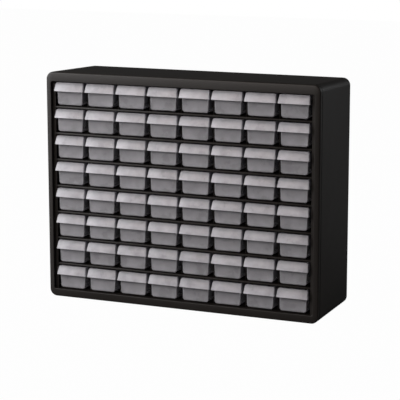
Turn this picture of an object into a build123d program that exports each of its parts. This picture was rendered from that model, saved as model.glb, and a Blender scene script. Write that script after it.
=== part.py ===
from build123d import *
import math
import os

# Parts bin cabinet: a black moulded case with 64 small pull-out drawers.
# Millimetres. X to the right, Y from the front to the back, Z up.
# The origin is at the middle of the footprint, on the surface that it stands on.

# ---- Driving dimensions ----
columns = 8
rows = 8

# Case
cabinet_width = 508.0
cabinet_height = 402.0
cabinet_depth = 162.0        # from the face of the front rim to the back
corner_radius = 13.0         # the case's four long corners, seen from the front
corner_flats = 6             # flat facets round each of them
shell_wall = 2.5
side_taper = 2.5             # each side leans in by this much at the back
top_taper = 4.9              # the top falls by this much
back_edge_radius = 4.0
edge_flats = 3               # flat facets round the case's front and back edges

# Front rim
side_border = 9.8
top_border = 16.6
bottom_border = 14.25
rim_recess = 6.0             # from the rim's face back to the shelves' front edges
rim_flange_depth = 3.0
side_flange = 6.0            # the strip beside the outer columns
rim_edge_radius = 2.6
rim_inner_chamfer = 1.0
opening_corner_radius = 4.0
shadow_gap_width = 2.0       # the groove between rim and shell
shadow_gap_depth = 1.4
tongue_length = 4.0          # the rim's tongue plugs into the shell
tongue_wall = 1.6

# Shelves and partitions
shelf_plate = 1.6
shelf_band_height = 3.1      # the thick front edge, which hangs below the plate
shelf_band_depth = 2.5
shelf_stop_height = 4.4      # upturned rear edge, which stops a drawer going in
shelf_stop_wall = 1.8
runner_height = 2.8          # the two ribs that carry each drawer
runner_width = 1.8
runner_spacing = 34.0
runner_setback = 5.0
partition_wall = 1.8
plinth_rib_wall = 1.8        # under the bottom shelf, below each partition

# Drawers
drawer_length = 133.4        # from the lip of the pull to the rear wall
drawer_wall = 1.5
drawer_floor = 1.6
drawer_draft = 1.0           # each side leans in by this much at the floor
drawer_corner_radius = 4.5
drawer_corner_flats = 3      # flat facets round each corner of a drawer
pull_height = 13.2
pull_depth = 6.5             # the lip of the pull stands this far off the drawer's front
pull_top_depth = 1.1
pull_bulge = 0.7
pull_wall = 1.4
pull_flare = 1.8             # each end is this much wider at the lip than at the top
pull_corner_radius = 2.0
corner_softness = 0.29       # how far a cut-back corner stands inside the square one
pull_reach = 3.0             # the lip stands this far in front of the rim
stop_tab_width = 14.0
stop_tab_wall = 1.5

# Wall hooks
keyhole_spacing = 406.4      # the distance between wall studs
keyhole_below_top = 44.0
keyhole_head_radius = 5.0
keyhole_slot_radius = 2.4
keyhole_slot_length = 11.0

# Clearances
drawer_top_gap = 1.3
drawer_side_gap = 4.0        # the tray is narrower than its pull
drawer_run_gap = 0.2         # between a drawer's floor and its runners
drawer_stop_gap = 0.3        # between a shut drawer and the shelf's rear edge
pull_gap = 3.4               # between neighbouring pulls
tab_gap = 0.4                # between a stop tab and the shelf above it
seat_gap = 0.2               # between pieces of the case that seat on each other

# ---- Places that follow from them ----
overall_depth = cabinet_depth + pull_reach
pull_lip_y = -overall_depth / 2
rim_face_y = pull_lip_y + pull_reach
shelf_front_y = rim_face_y + rim_recess
rim_back_y = shelf_front_y + rim_flange_depth
back_y = overall_depth / 2
shell_front_y = rim_back_y + shadow_gap_width
shell_run = back_y - rim_back_y

opening_width = cabinet_width - 2 * side_border
opening_bottom = bottom_border
opening_top = cabinet_height - top_border
opening_height = opening_top - opening_bottom
grid_width = opening_width - 2 * side_flange
column_pitch = grid_width / columns
row_pitch = (opening_height + shelf_band_height) / rows

drawer_front_y = pull_lip_y + pull_depth
drawer_back_y = pull_lip_y + drawer_length
drawer_width = column_pitch - partition_wall - 2 * drawer_side_gap
drawer_lift = runner_height + drawer_run_gap
drawer_height = row_pitch - shelf_band_height - drawer_top_gap - drawer_lift
pull_width = column_pitch - pull_gap

shelf_stop_y = drawer_back_y + drawer_stop_gap
shelf_back_y = shelf_stop_y + shelf_stop_wall
hidden_front_y = rim_back_y + seat_gap
partition_front_y = rim_back_y + tongue_length + seat_gap
side_plate_back_y = back_y - shell_wall - seat_gap
lip_drop = shelf_band_height - shelf_plate
keyhole_z = cabinet_height - keyhole_below_top
partition_places = [(place - columns / 2) * column_pitch for place in range(1, columns)]


def column_x(column):
    """Middle of a column of drawers, counted from 1 at the left."""
    return (column - (columns + 1) / 2) * column_pitch


def shelf_z(level):
    """Upper face of a shelf, counted from 0 at the bottom."""
    return opening_bottom + level * row_pitch


def row_z(row):
    """Underside of the drawers in a row, counted from 1 at the top."""
    return shelf_z(rows - row) + drawer_lift


# ---- Ways to make a solid ----
def box_between(low, high):
    """Box from its lowest corner to its highest."""
    size = [b - a for a, b in zip(low, high)]
    middle = [(a + b) / 2 for a, b in zip(low, high)]
    return Pos(*middle) * Box(*size)


def along_x(face, low_x, high_x):
    """Face drawn in (Y, Z), extruded from one X to another."""
    return extrude(Plane.YZ.offset(low_x) * face, high_x - low_x)


def along_y(face, front_y, rear_y):
    """Face drawn in (X, Z), extruded from one Y to another."""
    return extrude(Plane.XZ.offset(-rear_y) * face, rear_y - front_y)


def polygon(*points):
    """Face inside straight edges."""
    return make_face(Polyline(*points, close=True))


def quarter_turn(flats):
    """Angles from 0 to a quarter turn that end each flat facet of a corner."""
    return [math.pi / 2 * step / flats for step in range(flats + 1)]


def corner_points(side, base, radius, flats):
    """Points round a lower right corner, from its base line up to its side line."""
    return [(side - radius + radius * math.sin(turn), base + radius - radius * math.cos(turn))
            for turn in quarter_turn(flats)]


def mirrored(points):
    """The same points on the left, in the order that closes the outline."""
    return [(-x, z) for x, z in reversed(points)]


# ---- The case's tapered form ----
def case_limits(y, inset):
    """Half width, lowest and highest Z of the case at a depth, drawn in by an inset."""
    share = max(y - rim_back_y, 0) / shell_run
    return (cabinet_width / 2 - side_taper * share - inset,
            inset,
            cabinet_height - top_taper * share - inset)


def case_outline(y, inset):
    """Face inside the case's rounded outline at a depth, drawn in by an inset."""
    half_width, low, high = case_limits(y, inset)
    lower = corner_points(half_width, low, corner_radius - inset, corner_flats)
    upper = [(x, low + high - z) for x, z in reversed(lower)]
    return Plane.XZ.offset(-y) * polygon(*lower, *upper, *mirrored(lower + upper))


def case_block(*sections):
    """Solid through the case's outline at each of these depths, with the inset given for each."""
    return loft([case_outline(y, inset) for y, inset in sections], ruled=True)


def rounded_edge(face_y, radius, inwards):
    """Depths and insets that round a block's edge, from its side to its flat face."""
    turns = quarter_turn(edge_flats)
    return [(face_y + inwards * radius * (1 - math.sin(turn)), radius * (1 - math.cos(turn)))
            for turn in turns]


def corner_drop(x, y, inset):
    """How far the rounded corner lies inside the case's top and bottom at this X and depth."""
    radius = corner_radius - inset
    reach = x - (case_limits(y, inset)[0] - radius)
    return radius - math.sqrt(radius ** 2 - reach ** 2) if reach > 0 else 0


def edges_at(solid, y):
    """Edges that lie in the plane at this depth."""
    flat = []
    for edge in solid.edges():
        bounds = edge.bounding_box()
        if abs(bounds.min.Y - y) < 1e-3 and abs(bounds.max.Y - y) < 1e-3:
            flat.append(edge)
    return flat


# ---- Rear shell ----
def keyhole_cutter():
    """Round hole for a screw's head, with a slot above it that the screw's neck drops into."""
    slot = Pos(0, keyhole_slot_length / 2) * Rectangle(2 * keyhole_slot_radius, keyhole_slot_length)
    slot_end = Pos(0, keyhole_slot_length) * Circle(keyhole_slot_radius)
    return along_y(Circle(keyhole_head_radius) + slot + slot_end, -shell_wall, shell_wall)


def make_rear_shell():
    """Tapered box with a level floor, open to the front, with rounded rear edges and keyholes."""
    shell = case_block((shell_front_y, 0), *rounded_edge(back_y, back_edge_radius, -1))
    shell += case_block((rim_back_y, shadow_gap_depth), (shell_front_y, shadow_gap_depth))
    shell -= case_block((rim_back_y, shell_wall), (back_y - shell_wall, shell_wall))
    for side in (-1, 1):
        shell -= Pos(side * keyhole_spacing / 2, back_y, keyhole_z) * keyhole_cutter()
    return shell


# ---- Front rim ----
def make_front_rim():
    """Raised border with rounded edges, a strip beside the outer columns and a tongue behind."""
    rim = case_block((rim_back_y, 0), *rounded_edge(rim_face_y, rim_edge_radius, 1))
    opening = Pos(0, (opening_bottom + opening_top) / 2) * RectangleRounded(
        opening_width, opening_height, opening_corner_radius)
    rim -= along_y(opening, rim_face_y, rim_back_y)
    mouth = [edge for edge in edges_at(rim, rim_face_y)
             if abs(edge.center().X) < opening_width / 2 + 0.01
             and opening_bottom - 0.01 < edge.center().Z < opening_top + 0.01]
    rim = chamfer(mouth, rim_inner_chamfer)

    for side in (-1, 1):
        low_x, high_x = sorted((side * grid_width / 2, side * (opening_width + side_border) / 2))
        rim += box_between((low_x, shelf_front_y, opening_bottom / 2),
                           (high_x, rim_back_y, opening_top + top_border / 2))
    tongue_y = rim_back_y + tongue_length
    outside = shell_wall + seat_gap
    inside = outside + tongue_wall
    tongue = case_block((rim_back_y, outside), (tongue_y, outside))
    tongue -= case_block((rim_back_y, inside), (tongue_y, inside))
    return rim + tongue


# ---- Shelves, partitions and the two side plates that carry them ----
def make_shelf(level):
    """Plate with a hanging front edge, an upturned rear edge and two runners for each drawer."""
    half_width = grid_width / 2 - seat_gap
    band_back_y = shelf_front_y + shelf_band_depth
    front = [(band_back_y, -shelf_plate), (band_back_y, -shelf_band_height),
             (shelf_front_y, -shelf_band_height), (shelf_front_y, 0)]
    if level in (0, rows):
        front = [(hidden_front_y, -shelf_plate), (hidden_front_y, 0)]
    rear = [(shelf_stop_y, 0), (shelf_stop_y, shelf_stop_height),
            (shelf_back_y, shelf_stop_height), (shelf_back_y, -shelf_plate)]
    if level == rows:
        rear = [(shelf_back_y, 0), (shelf_back_y, -shelf_plate)]
    shelf = along_x(polygon(*front, *rear), -half_width, half_width)
    if level < rows:
        shelf += [make_runner(column_x(column) + side * runner_spacing / 2)
                  for column in range(1, columns + 1) for side in (-1, 1)]
    shelf = Pos(0, 0, shelf_z(level)) * shelf
    if level == 0:
        shelf += [make_plinth_rib(x) for x in partition_places]
    return shelf


def make_runner(x):
    """Rib on a shelf that a drawer's floor slides on."""
    return box_between((x - runner_width / 2, hidden_front_y + runner_setback, 0),
                       (x + runner_width / 2, shelf_stop_y, runner_height))


def make_plinth_rib(x):
    """Rib under the bottom shelf, down to the shell's floor."""
    return box_between((x - plinth_rib_wall / 2, partition_front_y, shell_wall + seat_gap),
                       (x + plinth_rib_wall / 2, shelf_back_y, shelf_z(0) - shelf_plate))


def make_partition(x, level):
    """Upright plate between two columns, from one shelf to the next."""
    return box_between((x - partition_wall / 2, partition_front_y, shelf_z(level)),
                       (x + partition_wall / 2, shelf_stop_y, shelf_z(level + 1) - shelf_plate))


def make_side_plate(side):
    """Full-height plate beside the outer column, from the shell's floor to its top."""
    inner_x = grid_width / 2
    outer_x = inner_x + partition_wall
    inset = shell_wall + seat_gap
    bottom, top = [], []
    for y in (partition_front_y, side_plate_back_y):
        low, high = case_limits(y, inset)[1:]
        drop = corner_drop(outer_x, y, inset)
        bottom.append((y, low + drop))
        top.insert(0, (y, high - drop))
    return along_x(polygon(*bottom, *top), *sorted((side * inner_x, side * outer_x)))


def make_shelf_grid():
    """All shelves, partitions and side plates, each a solid of its own."""
    shelves = [make_shelf(level) for level in range(rows + 1)]
    partitions = [make_partition(x, level) for x in partition_places for level in range(rows)]
    side_plates = [make_side_plate(side) for side in (-1, 1)]
    return Compound(children=[piece.solid() for piece in shelves + partitions + side_plates])


# ---- Drawers ----
def tray_section(inset, floor):
    """The tray across its width: sides that lean in towards a floor with rounded corners."""
    top_half = drawer_width / 2 - inset
    right = corner_points(top_half - drawer_draft, floor, drawer_corner_radius - inset,
                          drawer_corner_flats)
    right.append((top_half, drawer_height))
    return polygon(*right, *mirrored(right))


def pull_outline(inset, corner):
    """The pull seen from the front: wider at its lip, with its upper corners cut back."""
    top = drawer_height - inset
    lip_half = pull_width / 2 - inset
    top_half = lip_half - pull_flare
    right = [(lip_half, drawer_height - pull_height), (top_half, top)]
    if corner:
        right[1:] = [(top_half + pull_flare * corner / pull_height, top - corner),
                     (top_half - corner * corner_softness, top - corner * corner_softness),
                     (top_half - corner, top)]
    return polygon(*right, *mirrored(right))


def make_pull():
    """Hood across the drawer's front, with closed ends and a pocket for a fingertip under it."""
    lip_z = drawer_height - pull_height
    top_y = drawer_front_y - pull_top_depth
    lean = (top_y - pull_lip_y) / pull_height
    bulge = ((top_y + pull_lip_y) / 2 - pull_bulge, (drawer_height + lip_z) / 2)
    side_view = polygon((top_y, drawer_height), bulge, (pull_lip_y, lip_z),
                        (drawer_front_y, lip_z), (drawer_front_y, drawer_height))
    hood = along_x(side_view, -pull_width / 2, pull_width / 2)
    hood &= along_y(pull_outline(0, pull_corner_radius), pull_lip_y, drawer_front_y)

    pocket_top = drawer_height - (pull_wall - pull_top_depth) / lean - pull_wall / 2
    pocket = along_x(polygon((drawer_front_y, lip_z), (drawer_front_y, pocket_top),
                             (pull_lip_y + pull_wall, lip_z)), -pull_width / 2, pull_width / 2)
    pocket &= along_y(pull_outline(pull_wall, 0), pull_lip_y, drawer_front_y)
    return hood - pocket


def make_drawer():
    """One moulded drawer, its floor at Z 0 and its middle at X 0."""
    tray = along_y(tray_section(0, 0), drawer_front_y, drawer_back_y)
    tray -= along_y(tray_section(drawer_wall, drawer_floor),
                    drawer_front_y + drawer_wall, drawer_back_y - drawer_wall)
    tab_rise = drawer_top_gap + lip_drop - tab_gap
    tab = box_between((-stop_tab_width / 2, drawer_back_y - stop_tab_wall, drawer_height),
                      (stop_tab_width / 2, drawer_back_y, drawer_height + tab_rise))
    return tray + make_pull() + tab


def drawer_at(drawer, row, column):
    """The same drawer, shut in its cell."""
    return Pos(column_x(column), 0, row_z(row)) * drawer


# ---- Write every piece ----
os.makedirs("parts", exist_ok=True)

export_step(make_front_rim(), "parts/front_rim.step")
export_step(make_rear_shell(), "parts/rear_shell.step")
export_step(make_shelf_grid(), "parts/shelf_grid.step")

drawer = make_drawer()
for row in range(1, rows):
    for column in range(1, columns + 1):
        export_step(drawer_at(drawer, row, column), f"parts/drawer_row{row}_column{column}.step")

bottom_row = [drawer_at(drawer, rows, column).solid() for column in range(1, columns + 1)]
export_step(Compound(children=bottom_row), f"parts/drawers_row{rows}.step")

stop_face_y = max(rim_back_y, shelf_front_y + shelf_band_depth)
drawer_travel = drawer_back_y - stop_tab_wall - stop_face_y
print(f"column pitch {column_pitch:.3f}, row pitch {row_pitch:.3f}")
print(f"drawer {drawer_width:.2f} wide, {drawer_height:.2f} high, pull {pull_width:.2f} wide")
print(f"drawer travel to its stop {drawer_travel:.2f}")
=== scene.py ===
import math

import bmesh
import bpy
from mathutils import Matrix, Vector


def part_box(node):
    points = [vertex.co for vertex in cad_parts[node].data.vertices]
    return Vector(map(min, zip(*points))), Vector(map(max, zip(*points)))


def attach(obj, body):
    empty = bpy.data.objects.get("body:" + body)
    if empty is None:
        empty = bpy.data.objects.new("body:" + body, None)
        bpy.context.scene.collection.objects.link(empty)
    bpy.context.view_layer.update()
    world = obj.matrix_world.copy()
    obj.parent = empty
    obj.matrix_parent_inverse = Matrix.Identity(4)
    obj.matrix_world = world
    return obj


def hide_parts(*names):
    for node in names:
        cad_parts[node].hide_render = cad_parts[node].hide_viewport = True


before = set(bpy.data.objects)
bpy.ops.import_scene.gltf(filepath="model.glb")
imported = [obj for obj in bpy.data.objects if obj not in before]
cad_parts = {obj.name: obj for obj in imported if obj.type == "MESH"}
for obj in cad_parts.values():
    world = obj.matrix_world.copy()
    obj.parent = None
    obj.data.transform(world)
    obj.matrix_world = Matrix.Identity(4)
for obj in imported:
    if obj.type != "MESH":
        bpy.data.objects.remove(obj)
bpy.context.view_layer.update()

# ---- Sizes, in metres ----
MM = 0.001
ROWS = 8
COLUMNS = 8

# Case
CORNER_RADIUS = 13 * MM
SHELL_WALL = 2.5 * MM
SIDE_TAPER = 2.5 * MM
TOP_TAPER = 4.9 * MM
BACK_EDGE_RADIUS = 4 * MM
SHADOW_GAP_WIDTH = 2 * MM
SHADOW_GAP_DEPTH = 1.4 * MM
RIM_DEPTH = 9 * MM
SIDE_BORDER = 9.8 * MM
TOP_BORDER = 16.6 * MM
BOTTOM_BORDER = 14.25 * MM
SIDE_FLANGE = 6 * MM         # how far the strip beside the outer columns reaches inwards
FLANGE_DEPTH = 3 * MM
RIM_EDGE_RADIUS = 2.6 * MM
RIM_INNER_RADIUS = 1 * MM
RIM_FALL = 1.6 * MM          # the face of the rim falls back by this much towards its outside
GRID_EDGE_RADIUS = 0.35 * MM

# Keyholes in the back
KEYHOLE_SPACING = 406.4 * MM
KEYHOLE_BELOW_TOP = 44 * MM
KEYHOLE_HEAD_RADIUS = 5 * MM
KEYHOLE_SLOT_RADIUS = 2.4 * MM
KEYHOLE_SLOT_LENGTH = 11 * MM
KEYHOLE_CUT_DEPTH = 10 * MM  # half of it lies behind the back, and the rest passes the wall

# Drawers
DRAWER_WALL = 1.5 * MM
DRAWER_DRAFT = 1 * MM
DRAWER_CORNER_RADIUS = 4.5 * MM
DRAWER_EDGE_RADIUS = 1.2 * MM
PULL_HEIGHT = 15.1 * MM
PULL_DEPTH = 6.5 * MM
PULL_TOP_DEPTH = 1.1 * MM
PULL_BULGE = 0.7 * MM
PULL_WALL = 1.4 * MM
PULL_FLARE = 1.6 * MM
PULL_SIDE_REACH = 3.2 * MM   # each end of the pull stands this far outside the tray
PULL_CORNER_RADIUS = 3 * MM
PULL_EDGE_RADIUS = 0.8 * MM
PULL_LEVELS = 6              # bands that its curved face is made of
POCKET_SHARE = 0.7           # of the pull's height is hollow, for a fingertip
STOP_TAB_WIDTH = 14 * MM
STOP_TAB_WALL = 1.5 * MM
STOP_TAB_RISE = 2.4 * MM
STOP_TAB_INSET = 0.02 * MM   # keeps the tab's rear face off the tray's own
MOULD_RADIUS = 0.3 * MM      # on every edge of a drawer
SINK = 0.5 * MM              # how far a joined part is let into its neighbour
PULL_SINK = 0.3 * MM
HAIR = 0.05 * MM             # keeps two faces from lying in one plane

# How milky the drawer's plastic is, from 0 for clear to 1; the pull's lip, its top and the
# tray's edges are set milkier as painted highlight, where light would catch them
LIP_HIGHLIGHT = 1.0
PULL_TOP_FROST_AND_HIGHLIGHT = 0.4
TRAY_FROST = 0.12
EDGE_FROST_AND_HIGHLIGHT = 0.5
HIGHLIGHT_BAND = 3.2 * MM         # width of the band of painted highlight along the tray's edges

# Steps of the roundings
CORNER_STEPS = 14
RIM_INNER_STEPS = 4
WIDE_EDGE_STEPS = 6          # edges of the rim and the shell, and the tray's lower edges
PULL_CORNER_STEPS = 5
NARROW_EDGE_STEPS = 3
MOULD_STEPS = 2
PEG_SIDES = 32

# Tests of places and directions
NEAR = 0.02 * MM             # places closer than this count as the same
MERGE_DISTANCE = 0.01 * MM
MOSTLY = 0.9                 # share of a direction that lies along an axis
FLAT_ANGLE = math.radians(1)
SHARP_ANGLE = math.radians(35)
RIM_SHARP_ANGLE = math.radians(40)
PULL_SHARP_ANGLE = 0.5       # in radians
Y, Z = 1, 2                  # axes, as places in a vector
FORWARD, BACKWARD = Vector((0, -1, 0)), Vector((0, 1, 0))
UP, DOWN = Vector((0, 0, 1)), Vector((0, 0, -1))

# Places from the frame
RIM_LOW, RIM_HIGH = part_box("front_rim")
HALF_WIDTH = RIM_HIGH.x
HEIGHT = RIM_HIGH.z
RIM_FACE_Y = RIM_LOW.y
RIM_BACK_Y = RIM_FACE_Y + RIM_DEPTH
BACK_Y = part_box("rear_shell")[1].y


# ---- Modelling by hand ----
def only_select(piece):
    """Leaves edit mode and makes this piece the one that is selected and active."""
    if bpy.context.mode != "OBJECT":
        bpy.ops.object.mode_set(mode="OBJECT")
    bpy.ops.object.select_all(action="DESELECT")
    piece.select_set(True)
    bpy.context.view_layer.objects.active = piece


def deselect_all():
    """Leaves edit mode with nothing selected."""
    if bpy.context.mode != "OBJECT":
        bpy.ops.object.mode_set(mode="OBJECT")
    bpy.ops.object.select_all(action="DESELECT")


def settle(name):
    """Names the new primitive and puts its place and size into its mesh."""
    piece = bpy.context.object
    piece.name = piece.data.name = name
    bpy.ops.object.transform_apply(location=True, rotation=True, scale=True)
    return piece


def add_block(name, low, high):
    """A cube between two corners."""
    deselect_all()
    low, high = Vector(low), Vector(high)
    bpy.ops.mesh.primitive_cube_add(size=1, location=(low + high) / 2, scale=high - low)
    return settle(name)


def add_peg(name, centre, radius, length):
    """A round peg along Y."""
    deselect_all()
    bpy.ops.mesh.primitive_cylinder_add(vertices=PEG_SIDES, radius=radius, depth=length,
                                        location=centre, rotation=(math.pi / 2, 0, 0))
    return settle(name)


def edit(piece):
    """Opens the piece for editing with nothing of it selected."""
    only_select(piece)
    bpy.ops.object.mode_set(mode="EDIT")
    bpy.ops.mesh.select_all(action="DESELECT")


def choose(piece, kind, test):
    """Selects only the vertices, edges or faces that pass the test."""
    bpy.ops.mesh.select_mode(type=kind)
    bpy.ops.mesh.select_all(action="DESELECT")
    mesh = bmesh.from_edit_mesh(piece.data)
    elements = {"VERT": mesh.verts, "EDGE": mesh.edges, "FACE": mesh.faces}[kind]
    for element in elements:
        if test(element):
            element.select_set(True)
    bmesh.update_edit_mesh(piece.data)


def middle(edge):
    return (edge.verts[0].co + edge.verts[1].co) / 2


def close(a, b):
    return abs(a - b) < NEAR


def runs_back(edge):
    """Whether an edge runs from the front to the back."""
    return abs((edge.verts[1].co - edge.verts[0].co).normalized().y) > MOSTLY


def lies_at(edge, axis, place):
    """Whether both ends of an edge lie at a place along an axis."""
    return all(close(vertex.co[axis], place) for vertex in edge.verts)


def points(face, direction):
    """Whether a face points along a direction."""
    return face.normal.dot(direction) > MOSTLY


def move_chosen(x=0, y=0, z=0):
    bpy.ops.transform.translate(value=(x, y, z))


def extrude_chosen(y=0, z=0):
    bpy.ops.mesh.extrude_region_move(TRANSFORM_OT_translate={"value": (0, y, z)})


def round_chosen(radius, steps):
    bpy.ops.mesh.bevel(offset=radius, segments=steps, affect="EDGES")


def apply_modifier(piece, kind, **settings):
    """Adds a modifier to a piece and applies it."""
    only_select(piece)
    modifier = piece.modifiers.new(kind, kind)
    for name, value in settings.items():
        setattr(modifier, name, value)
    bpy.ops.object.modifier_apply(modifier=modifier.name)


def combine(piece, other, operation):
    """Joins another solid to a piece, or cuts it out, and removes the other."""
    apply_modifier(piece, "BOOLEAN", object=other, operation=operation, solver="EXACT")
    bpy.data.meshes.remove(other.data)


def shade(piece, angle=SHARP_ANGLE):
    """Shades a piece smoothly, apart from edges sharper than an angle."""
    only_select(piece)
    bpy.ops.object.shade_smooth_by_angle(angle=angle)


def soften(piece, radius):
    """Rounds a piece's sharp edges and shades it smoothly."""
    apply_modifier(piece, "BEVEL", width=radius, segments=MOULD_STEPS, limit_method="ANGLE",
                   angle_limit=SHARP_ANGLE, use_clamp_overlap=True)
    shade(piece)


# ---- Case ----
def make_rim():
    """Raised border that falls back outwards, with a strip beside the outer columns."""
    rim = add_block("rim_moulding", (-HALF_WIDTH, RIM_FACE_Y, 0),
                    (HALF_WIDTH, RIM_BACK_Y, HEIGHT))
    edit(rim)
    choose(rim, "EDGE", runs_back)
    round_chosen(CORNER_RADIUS, CORNER_STEPS)
    for direction in (FORWARD, BACKWARD):
        choose(rim, "FACE", lambda face: points(face, direction))
        bpy.ops.mesh.inset(thickness=SIDE_BORDER)
        bpy.ops.mesh.delete(type="ONLY_FACE")

    def inner(vertex):
        return (abs(vertex.co.x) < HALF_WIDTH - SIDE_BORDER + NEAR
                and SIDE_BORDER - NEAR < vertex.co.z < HEIGHT - SIDE_BORDER + NEAR)

    choose(rim, "VERT", lambda vertex: inner(vertex) and vertex.co.z > HEIGHT / 2)
    move_chosen(z=SIDE_BORDER - TOP_BORDER)
    choose(rim, "VERT", lambda vertex: inner(vertex) and vertex.co.z < HEIGHT / 2)
    move_chosen(z=BOTTOM_BORDER - SIDE_BORDER)
    choose(rim, "VERT", lambda vertex: not inner(vertex) and close(vertex.co.y, RIM_FACE_Y))
    move_chosen(y=RIM_FALL)
    choose(rim, "EDGE", lambda edge: edge.is_boundary)
    bpy.ops.mesh.bridge_edge_loops()
    choose(rim, "EDGE", lambda edge: lies_at(edge, Y, RIM_FACE_Y))
    round_chosen(RIM_INNER_RADIUS, RIM_INNER_STEPS)
    choose(rim, "EDGE", lambda edge: lies_at(edge, Y, RIM_FACE_Y + RIM_FALL))
    round_chosen(RIM_EDGE_RADIUS, WIDE_EDGE_STEPS)
    deselect_all()

    inner_x = HALF_WIDTH - SIDE_BORDER - SIDE_FLANGE
    outer_x = HALF_WIDTH - SIDE_BORDER / 2
    for side in (-1, 1):
        low_x, high_x = sorted((side * inner_x, side * outer_x))
        strip = add_block("strip", (low_x, RIM_BACK_Y - FLANGE_DEPTH, BOTTOM_BORDER / 2),
                          (high_x, RIM_BACK_Y, HEIGHT - TOP_BORDER / 2))
        combine(rim, strip, "UNION")
    shade(rim, RIM_SHARP_ANGLE)
    return rim


def make_shell():
    """Tapered box with a narrower neck up to the rim, a hollow inside and keyholes."""
    shell_front_y = RIM_BACK_Y + SHADOW_GAP_WIDTH
    shell = add_block("shell_moulding", (-HALF_WIDTH, shell_front_y, 0),
                      (HALF_WIDTH, BACK_Y, HEIGHT))
    edit(shell)
    choose(shell, "VERT", lambda vertex: vertex.co.y > 0 and vertex.co.z > HEIGHT / 2)
    move_chosen(z=-TOP_TAPER)
    for side in (-1, 1):
        choose(shell, "VERT", lambda vertex: vertex.co.y > 0 and vertex.co.x * side > 0)
        move_chosen(x=-side * SIDE_TAPER)
    choose(shell, "EDGE", runs_back)
    round_chosen(CORNER_RADIUS, CORNER_STEPS)
    choose(shell, "EDGE", lambda edge: lies_at(edge, Y, BACK_Y))
    round_chosen(BACK_EDGE_RADIUS, WIDE_EDGE_STEPS)

    choose(shell, "FACE", lambda face: points(face, FORWARD))
    bpy.ops.mesh.inset(thickness=SHADOW_GAP_DEPTH)
    extrude_chosen(y=-SHADOW_GAP_WIDTH)
    bpy.ops.mesh.inset(thickness=SHELL_WALL - SHADOW_GAP_DEPTH)
    extrude_chosen(y=BACK_Y - SHELL_WALL - RIM_BACK_Y)
    inner_half = HALF_WIDTH - SHELL_WALL
    bpy.ops.transform.resize(value=((inner_half - SIDE_TAPER) / inner_half, 1, 1),
                             center_override=(0, 0, 0))
    inner_height = HEIGHT - 2 * SHELL_WALL
    rise = (inner_height - TOP_TAPER) / inner_height
    bpy.ops.transform.resize(value=(1, 1, rise), center_override=(0, 0, SHELL_WALL))
    deselect_all()

    head_z = HEIGHT - KEYHOLE_BELOW_TOP
    slot_z = head_z + KEYHOLE_SLOT_LENGTH
    cut_low_y = BACK_Y - KEYHOLE_CUT_DEPTH / 2
    cut_high_y = BACK_Y + KEYHOLE_CUT_DEPTH / 2
    for side in (-1, 1):
        x = side * KEYHOLE_SPACING / 2
        cutters = [
            add_peg("head", (x, BACK_Y, head_z), KEYHOLE_HEAD_RADIUS, KEYHOLE_CUT_DEPTH),
            add_peg("slot_end", (x, BACK_Y, slot_z), KEYHOLE_SLOT_RADIUS, KEYHOLE_CUT_DEPTH),
            add_block("slot", (x - KEYHOLE_SLOT_RADIUS, cut_low_y, head_z),
                      (x + KEYHOLE_SLOT_RADIUS, cut_high_y, slot_z))]
        for cutter in cutters:
            combine(shell, cutter, "DIFFERENCE")
    shade(shell)
    return shell


# ---- Shelves and partitions ----
def make_grid():
    """The shelves, partitions and side plates of the frame, merged and with softened edges."""
    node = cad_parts["shelf_grid"]
    grid = node.copy()
    grid.data = node.data.copy()
    grid.name = grid.data.name = "shelf_moulding"
    bpy.context.scene.collection.objects.link(grid)
    edit(grid)
    bpy.ops.mesh.select_all(action="SELECT")
    bpy.ops.mesh.remove_doubles(threshold=MERGE_DISTANCE)
    bpy.ops.mesh.dissolve_limited(angle_limit=FLAT_ANGLE)
    deselect_all()
    soften(grid, GRID_EDGE_RADIUS)
    return grid


# ---- One drawer, modelled where the drawer of row 1, column 1 lies ----
def make_tray(low, high):
    """Open tray with leaning sides, rounded floor edges and a thin wall."""
    tray = add_block("tray", low, high)
    centre_x = (low[0] + high[0]) / 2
    half = (high[0] - low[0]) / 2
    edit(tray)
    choose(tray, "VERT", lambda vertex: close(vertex.co.z, low[2]))
    bpy.ops.transform.resize(value=((half - DRAWER_DRAFT) / half, 1, 1),
                             center_override=(centre_x, 0, low[2]))
    choose(tray, "EDGE", lambda edge: runs_back(edge) and lies_at(edge, Z, low[2]))
    round_chosen(DRAWER_CORNER_RADIUS, WIDE_EDGE_STEPS)
    choose(tray, "EDGE", lambda edge: not runs_back(edge) and not lies_at(edge, Z, high[2]))
    round_chosen(DRAWER_EDGE_RADIUS, NARROW_EDGE_STEPS)
    # Cuts that bound the band of painted highlight along the edges
    for cut, facing in (((centre_x - half + HIGHLIGHT_BAND, 0, 0), (1, 0, 0)),
                        ((centre_x + half - HIGHLIGHT_BAND, 0, 0), (1, 0, 0)),
                        ((0, low[1] + HIGHLIGHT_BAND, 0), (0, 1, 0)),
                        ((0, 0, low[2] + HIGHLIGHT_BAND), (0, 0, 1))):
        bpy.ops.mesh.select_all(action="SELECT")
        bpy.ops.mesh.bisect(plane_co=cut, plane_no=facing)
    choose(tray, "FACE", lambda face: points(face, UP))
    bpy.ops.mesh.delete(type="FACE")
    deselect_all()
    apply_modifier(tray, "SOLIDIFY", thickness=DRAWER_WALL, offset=-1, use_even_offset=True)
    return tray


def pull_profile(share):
    """How far the pull's face lies behind its lip, at a share of its height."""
    lean = PULL_DEPTH - PULL_TOP_DEPTH
    return lean * share - PULL_BULGE * 4 * share * (1 - share)


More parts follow.
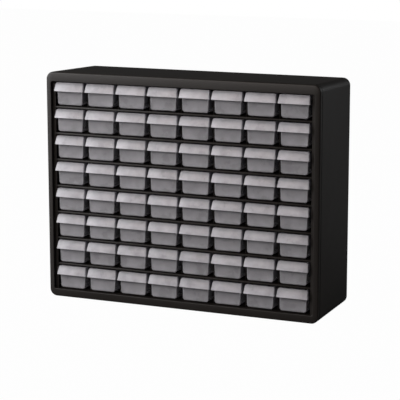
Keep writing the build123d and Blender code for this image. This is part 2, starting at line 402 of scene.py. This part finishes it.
def make_hood(centre_x, half, front_y, lip_z, top_z):
    """Hooded pull on a front plate as wide as itself, with a pocket for a fingertip under it."""
    lip_y = front_y - PULL_DEPTH
    hood = add_block("hood", (centre_x - half, lip_y, lip_z),
                     (centre_x + half, front_y + PULL_SINK, top_z))
    edit(hood)
    choose(hood, "EDGE", lambda edge: runs_back(edge) and lies_at(edge, Z, top_z))
    round_chosen(PULL_CORNER_RADIUS, PULL_CORNER_STEPS)
    straight = PULL_HEIGHT - PULL_CORNER_RADIUS
    for level in range(1, PULL_LEVELS):
        bpy.ops.mesh.select_all(action="SELECT")
        bpy.ops.mesh.bisect(plane_co=(centre_x, 0, lip_z + straight * level / PULL_LEVELS),
                            plane_no=(0, 0, 1))
    heights = {round(vertex.co.z, 6) for vertex in bmesh.from_edit_mesh(hood.data).verts}
    for z in sorted(heights):
        share = (z - lip_z) / PULL_HEIGHT
        choose(hood, "VERT", lambda vertex: close(vertex.co.z, z))
        bpy.ops.transform.resize(value=((half - PULL_FLARE * share) / half, 1, 1),
                                 center_override=(centre_x, 0, z))
        choose(hood, "VERT", lambda vertex: close(vertex.co.z, z) and close(vertex.co.y, lip_y))
        move_chosen(y=pull_profile(share))
    choose(hood, "EDGE", lambda edge: edge.calc_face_angle(0) > PULL_SHARP_ANGLE
           and middle(edge).y < front_y - PULL_TOP_DEPTH / 2 and middle(edge).z > lip_z + HAIR)
    round_chosen(PULL_EDGE_RADIUS, NARROW_EDGE_STEPS)

    choose(hood, "FACE", lambda face: points(face, DOWN))
    bpy.ops.mesh.inset(thickness=PULL_WALL)
    roof_z = lip_z + POCKET_SHARE * PULL_HEIGHT
    extrude_chosen(z=roof_z - lip_z)
    pocket_half = half - PULL_WALL
    bpy.ops.transform.resize(value=(1 - PULL_FLARE * POCKET_SHARE / pocket_half, 1, 1),
                             center_override=(centre_x, 0, roof_z))
    choose(hood, "VERT", lambda vertex: close(vertex.co.z, roof_z)
           and vertex.co.y < (lip_y + front_y) / 2)
    move_chosen(y=pull_profile(POCKET_SHARE))
    deselect_all()
    return hood


def make_drawer():
    """Tray, hooded pull and stop tab in one moulding."""
    node_low, node_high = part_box("drawer_row1_column1")
    centre_x = (node_low.x + node_high.x) / 2
    pull_half = (node_high.x - node_low.x) / 2
    tray_half = pull_half - PULL_SIDE_REACH
    front_y = node_low.y + PULL_DEPTH
    top_z = node_high.z - STOP_TAB_RISE
    lip_z = top_z - PULL_HEIGHT
    tray = make_tray((centre_x - tray_half, front_y, node_low.z),
                     (centre_x + tray_half, node_high.y, top_z - HAIR))
    hood = make_hood(centre_x, pull_half, front_y, lip_z, top_z)
    combine(tray, hood, "UNION")
    tab = add_block("tab", (centre_x - STOP_TAB_WIDTH / 2, node_high.y - STOP_TAB_WALL,
                            top_z - SINK),
                    (centre_x + STOP_TAB_WIDTH / 2, node_high.y - STOP_TAB_INSET,
                     node_high.z))
    combine(tray, tab, "UNION")
    soften(tray, MOULD_RADIUS)
    paint_frost_and_highlights(tray, centre_x, tray_half, front_y, node_low.z, lip_z)
    return tray


def paint_frost_and_highlights(drawer, centre_x, tray_half, front_y, floor_z, lip_z):
    """Marks how milky the plastic is: most at the pull's lip, least in the middle of a wall,
    with painted highlight at the lip, the pull's top and the tray's edges.
    """
    top_z = lip_z + PULL_HEIGHT
    reach = HIGHLIGHT_BAND - HAIR
    frost_and_highlight = drawer.data.attributes.new("frost_and_highlight", "FLOAT", "POINT")
    for vertex, mark in zip(drawer.data.vertices, frost_and_highlight.data):
        share = (vertex.co.z - lip_z) / PULL_HEIGHT
        edges_near = ((abs(vertex.co.x - centre_x) > tray_half - reach)
                      + (vertex.co.y < front_y + reach) + (vertex.co.z < floor_z + reach))
        # The pull, the tray's top rim and the band where tray walls meet get painted highlight
        # on top of the plastic's own frost
        if vertex.co.y < front_y - MOULD_RADIUS:
            mark.value = LIP_HIGHLIGHT + (PULL_TOP_FROST_AND_HIGHLIGHT - LIP_HIGHLIGHT) * min(max(share, 0), 1)
        elif vertex.co.z > top_z - MOULD_RADIUS:
            mark.value = PULL_TOP_FROST_AND_HIGHLIGHT
        elif edges_near > 1:
            mark.value = EDGE_FROST_AND_HIGHLIGHT
        else:
            mark.value = TRAY_FROST


def copy_of(piece, name, shift):
    """A copy with its own mesh, moved by a shift."""
    copy = piece.copy()
    copy.data = piece.data.copy()
    copy.name = copy.data.name = name
    copy.data.transform(Matrix.Translation(shift))
    bpy.context.scene.collection.objects.link(copy)
    return copy


# ---- Materials ----
BLACK_DARK = (0.0088, 0.0066, 0.0052, 1)
BLACK_LIGHT = (0.0135, 0.0104, 0.0082, 1)
BLACK_ROUGHNESS = (0.44, 0.54)
BLACK_SPECULAR = 0.4

# The milky tint and alpha are reached where the painted highlight at the pull's lip and the
# tray's edges is strongest
CLEAR_TINT = (0.4, 0.4, 0.42, 1)
MILKY_HIGHLIGHT_TINT = (0.675, 0.66, 0.7, 1)
CLEAR_ALPHA = 0.2
MILKY_HIGHLIGHT_ALPHA = 0.7
CLEAR_ROUGHNESS = (0.24, 0.36)
CLEAR_SPECULAR = 0.5
FROST_UNEVENNESS = (0.72, 1.15)
SCATTER_SHARE = 0.5
SCATTER_DEPTH = 3 * MM

GRAIN_DETAIL = 3
MOTTLE_DETAIL = 4
MOTTLE_RANGE = (0.3, 0.7)    # where nearly all values of the mottle lie


def new_material(name):
    material = bpy.data.materials.new(name)
    material.use_nodes = True
    nodes = material.node_tree.nodes
    return material, nodes, material.node_tree.links, nodes["Principled BSDF"]


def make_grain_group():
    """Fine moulded grain: a height for bump and a slow mottle between 0 and 1."""
    group = bpy.data.node_groups.new("moulded_grain", "ShaderNodeTree")
    socket = group.interface.new_socket
    socket("Grain Scale", in_out="INPUT", socket_type="NodeSocketFloat")
    socket("Mottle Scale", in_out="INPUT", socket_type="NodeSocketFloat")
    socket("Height", in_out="OUTPUT", socket_type="NodeSocketFloat")
    socket("Mottle", in_out="OUTPUT", socket_type="NodeSocketFloat")
    nodes, links = group.nodes, group.links
    entry, leave = nodes.new("NodeGroupInput"), nodes.new("NodeGroupOutput")
    place = nodes.new("ShaderNodeTexCoord")
    for source, target, detail in (("Grain Scale", "Height", GRAIN_DETAIL),
                                   ("Mottle Scale", "Mottle", MOTTLE_DETAIL)):
        noise = nodes.new("ShaderNodeTexNoise")
        noise.inputs["Detail"].default_value = detail
        links.new(place.outputs["Object"], noise.inputs["Vector"])
        links.new(entry.outputs[source], noise.inputs["Scale"])
        links.new(noise.outputs["Fac"], leave.inputs[target])
    return group


def place_grain(nodes, links, shader, group, grain_scale, mottle_scale, strength, height):
    """Puts the grain group into a material, raises its surface with it, and gives its mottle."""
    grain = nodes.new("ShaderNodeGroup")
    grain.node_tree = group
    grain.inputs["Grain Scale"].default_value = grain_scale
    grain.inputs["Mottle Scale"].default_value = mottle_scale
    bump = nodes.new("ShaderNodeBump")
    bump.inputs["Strength"].default_value = strength
    bump.inputs["Distance"].default_value = height
    links.new(grain.outputs["Height"], bump.inputs["Height"])
    links.new(bump.outputs["Normal"], shader.inputs["Normal"])
    return grain.outputs["Mottle"]


def map_range(nodes, links, source, given, wanted, target):
    """Maps one range of numbers to another on the way from a source to a target."""
    remap = nodes.new("ShaderNodeMapRange")
    remap.inputs["From Min"].default_value, remap.inputs["From Max"].default_value = given
    remap.inputs["To Min"].default_value, remap.inputs["To Max"].default_value = wanted
    links.new(source, remap.inputs["Value"])
    links.new(remap.outputs["Result"], target)


def blend_colours(nodes, links, mask, first, second, target):
    """Blends from the first colour to the second by a mask."""
    mix = nodes.new("ShaderNodeMix")
    mix.data_type = "RGBA"
    mix.inputs["A"].default_value = first
    mix.inputs["B"].default_value = second
    links.new(mask, mix.inputs["Factor"])
    links.new(mix.outputs["Result"], target)


def make_black_plastic(group):
    """Satin black polystyrene with a fine moulded grain."""
    material, nodes, links, shader = new_material("satin_black_polystyrene")
    mottle = place_grain(nodes, links, shader, group, grain_scale=1400, mottle_scale=9,
                         strength=0.12, height=0.2 * MM)
    blend_colours(nodes, links, mottle, BLACK_DARK, BLACK_LIGHT, shader.inputs["Base Color"])
    map_range(nodes, links, mottle, MOTTLE_RANGE, BLACK_ROUGHNESS, shader.inputs["Roughness"])
    shader.inputs["Specular IOR Level"].default_value = BLACK_SPECULAR
    return material


def make_clear_plastic(group):
    """Lightly frosted clear plastic, see-through by its alpha, and milkier and lighter where it
    is marked, as painted highlight at the lip and edges.
    """
    material, nodes, links, shader = new_material("frosted_clear_plastic")
    mottle = place_grain(nodes, links, shader, group, grain_scale=260, mottle_scale=45,
                         strength=0.025, height=0.5 * MM)
    mark = nodes.new("ShaderNodeAttribute")
    mark.attribute_name = "frost_and_highlight"
    frost_and_highlight = nodes.new("ShaderNodeMath")
    frost_and_highlight.operation = "MULTIPLY"
    links.new(mark.outputs["Fac"], frost_and_highlight.inputs[0])
    map_range(nodes, links, mottle, MOTTLE_RANGE, FROST_UNEVENNESS, frost_and_highlight.inputs[1])
    # The plastic's own frost together with the painted highlight at the lip and edges
    milkiness_and_highlight = frost_and_highlight.outputs["Value"]
    map_range(nodes, links, milkiness_and_highlight, (0, 1), (CLEAR_ALPHA, MILKY_HIGHLIGHT_ALPHA),
              shader.inputs["Alpha"])
    blend_colours(nodes, links, milkiness_and_highlight, CLEAR_TINT, MILKY_HIGHLIGHT_TINT, shader.inputs["Base Color"])
    map_range(nodes, links, mottle, MOTTLE_RANGE, CLEAR_ROUGHNESS, shader.inputs["Roughness"])
    shader.inputs["Specular IOR Level"].default_value = CLEAR_SPECULAR
    shader.inputs["Subsurface Weight"].default_value = SCATTER_SHARE
    shader.inputs["Subsurface Radius"].default_value = (1, 1, 1)
    shader.inputs["Subsurface Scale"].default_value = SCATTER_DEPTH
    return material


def dress(piece, material):
    """Gives a piece its material in place of any it had."""
    piece.data.materials.clear()
    piece.data.materials.append(material)


# ---- Build the object ----
grain_group = make_grain_group()
black_plastic = make_black_plastic(grain_group)
clear_plastic = make_clear_plastic(grain_group)

for make_piece, node in ((make_rim, "front_rim"), (make_shell, "rear_shell"),
                         (make_grid, "shelf_grid")):
    piece = make_piece()
    dress(piece, black_plastic)
    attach(piece, "case")
    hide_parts(node)

model_drawer = make_drawer()
dress(model_drawer, clear_plastic)
first_low, first_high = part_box("drawer_row1_column1")
bottom_low, bottom_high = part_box(f"drawers_row{ROWS}")
column_pitch = ((bottom_high.x - bottom_low.x) - (first_high.x - first_low.x)) / (COLUMNS - 1)
row_pitch = (first_low.z - bottom_low.z) / (ROWS - 1)
for row in range(1, ROWS + 1):
    for column in range(1, COLUMNS + 1):
        body = f"drawer_row{row}_column{column}" if row < ROWS else f"drawers_row{ROWS}"
        drawer = copy_of(model_drawer, f"bin_row{row}_column{column}",
                         ((column - 1) * column_pitch, 0, -(row - 1) * row_pitch))
        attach(drawer, body)
        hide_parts(body)
bpy.data.objects.remove(model_drawer)


# ---- Floor, light and camera ----
FLOOR_SIZE = 12
CAMERA_AZIMUTH = 23.667
CAMERA_ELEVATION = 10.877
CAMERA_ROLL = -0.051
CAMERA_DISTANCE = 2.856
CAMERA_TARGET = (0.00445, 0.0015, 0.1792)
CAMERA_LENS = 146.66
CAMERA_SENSOR = 36           # in millimetres, as the lens
CAMERA_SIGHT = 100           # how far it sees
WHITE = (1, 1, 1, 1)
FLOOR_GREY = (0.22, 0.22, 0.22, 1)
FLOOR_WHITENESS = 0.985      # how white the camera sees the floor
ROOM_STRENGTH = 0.055
KEY_COLOUR = (0.97, 0.98, 1)
WARM_COLOUR = (1, 0.87, 0.8)
COOL_COLOUR = (0.96, 0.98, 1)


def make_floor():
    """Pale floor that the camera sees as nearly white, with the object's shadow on it."""
    deselect_all()
    bpy.ops.mesh.primitive_plane_add(size=FLOOR_SIZE)
    floor = settle("floor")
    material, nodes, links, shader = new_material("pale_floor")
    shader.inputs["Base Color"].default_value = FLOOR_GREY
    shader.inputs["Roughness"].default_value = 1
    shader.inputs["Specular IOR Level"].default_value = 0
    glow = nodes.new("ShaderNodeEmission")
    glow.inputs["Color"].default_value = WHITE
    path = nodes.new("ShaderNodeLightPath")
    share = nodes.new("ShaderNodeMath")
    share.operation = "MULTIPLY"
    share.inputs[1].default_value = FLOOR_WHITENESS
    mix = nodes.new("ShaderNodeMixShader")
    links.new(path.outputs["Is Camera Ray"], share.inputs[0])
    links.new(share.outputs["Value"], mix.inputs["Fac"])
    links.new(shader.outputs["BSDF"], mix.inputs[1])
    links.new(glow.outputs["Emission"], mix.inputs[2])
    links.new(mix.outputs["Shader"], nodes["Material Output"].inputs["Surface"])
    floor.data.materials.append(material)


def make_world():
    """White behind the object for the camera, and a soft grey room for light and reflections."""
    world = bpy.data.worlds.new("studio")
    bpy.context.scene.world = world
    world.use_nodes = True
    nodes, links = world.node_tree.nodes, world.node_tree.links
    room = nodes["Background"]
    room.inputs["Color"].default_value = WHITE
    room.inputs["Strength"].default_value = ROOM_STRENGTH
    white = nodes.new("ShaderNodeBackground")
    white.inputs["Color"].default_value = WHITE
    white.inputs["Strength"].default_value = 1
    path = nodes.new("ShaderNodeLightPath")
    mix = nodes.new("ShaderNodeMixShader")
    links.new(path.outputs["Is Camera Ray"], mix.inputs["Fac"])
    links.new(room.outputs["Background"], mix.inputs[1])
    links.new(white.outputs["Background"], mix.inputs[2])
    links.new(mix.outputs["Shader"], nodes["World Output"].inputs["Surface"])


def make_lamp(name, place, aim, size, power, colour):
    """Soft square lamp that points at a place."""
    data = bpy.data.lights.new(name, "AREA")
    data.shape = "SQUARE"
    data.size = size
    data.energy = power
    data.color = colour
    lamp = bpy.data.objects.new(name, data)
    bpy.context.scene.collection.objects.link(lamp)
    lamp.location = place
    lamp.rotation_euler = (Vector(aim) - Vector(place)).to_track_quat("-Z", "Y").to_euler()


def make_camera():
    """Camera at the photograph's place."""
    azimuth, elevation, roll = (math.radians(turn) for turn in
                                (CAMERA_AZIMUTH, CAMERA_ELEVATION, CAMERA_ROLL))
    back = Vector((math.sin(azimuth) * math.cos(elevation),
                   -math.cos(azimuth) * math.cos(elevation), math.sin(elevation)))
    level_right = Vector((math.cos(azimuth), math.sin(azimuth), 0))
    level_up = back.cross(level_right)
    right = level_right * math.cos(roll) + level_up * math.sin(roll)
    up = back.cross(right)
    data = bpy.data.cameras.new("camera")
    data.lens = CAMERA_LENS
    data.sensor_width = CAMERA_SENSOR
    data.sensor_fit = "HORIZONTAL"
    data.clip_end = CAMERA_SIGHT
    camera = bpy.data.objects.new("camera", data)
    bpy.context.scene.collection.objects.link(camera)
    place = Vector(CAMERA_TARGET) + back * CAMERA_DISTANCE
    turned = Matrix((right, up, back)).transposed().to_4x4()
    camera.matrix_world = Matrix.Translation(place) @ turned
    bpy.context.scene.camera = camera


make_floor()
make_world()
make_lamp("key", place=(-1.9, -1.25, 1.1), aim=(0, -0.05, 0.2), size=1.3, power=58,
          colour=KEY_COLOUR)
make_lamp("fill", place=(-0.9, -2.7, 1.8), aim=(0, 0, 0.2), size=1.2, power=26,
          colour=WARM_COLOUR)
make_lamp("side", place=(2.4, 0.6, 1.7), aim=(0.2, 0, 0.25), size=1.4, power=9,
          colour=COOL_COLOUR)
make_lamp("back", place=(2.0, 2.1, 1.0), aim=(0, 0.1, 0.2), size=1.0, power=9,
          colour=COOL_COLOUR)
make_camera()
bpy.context.scene.view_settings.view_transform = "Standard"
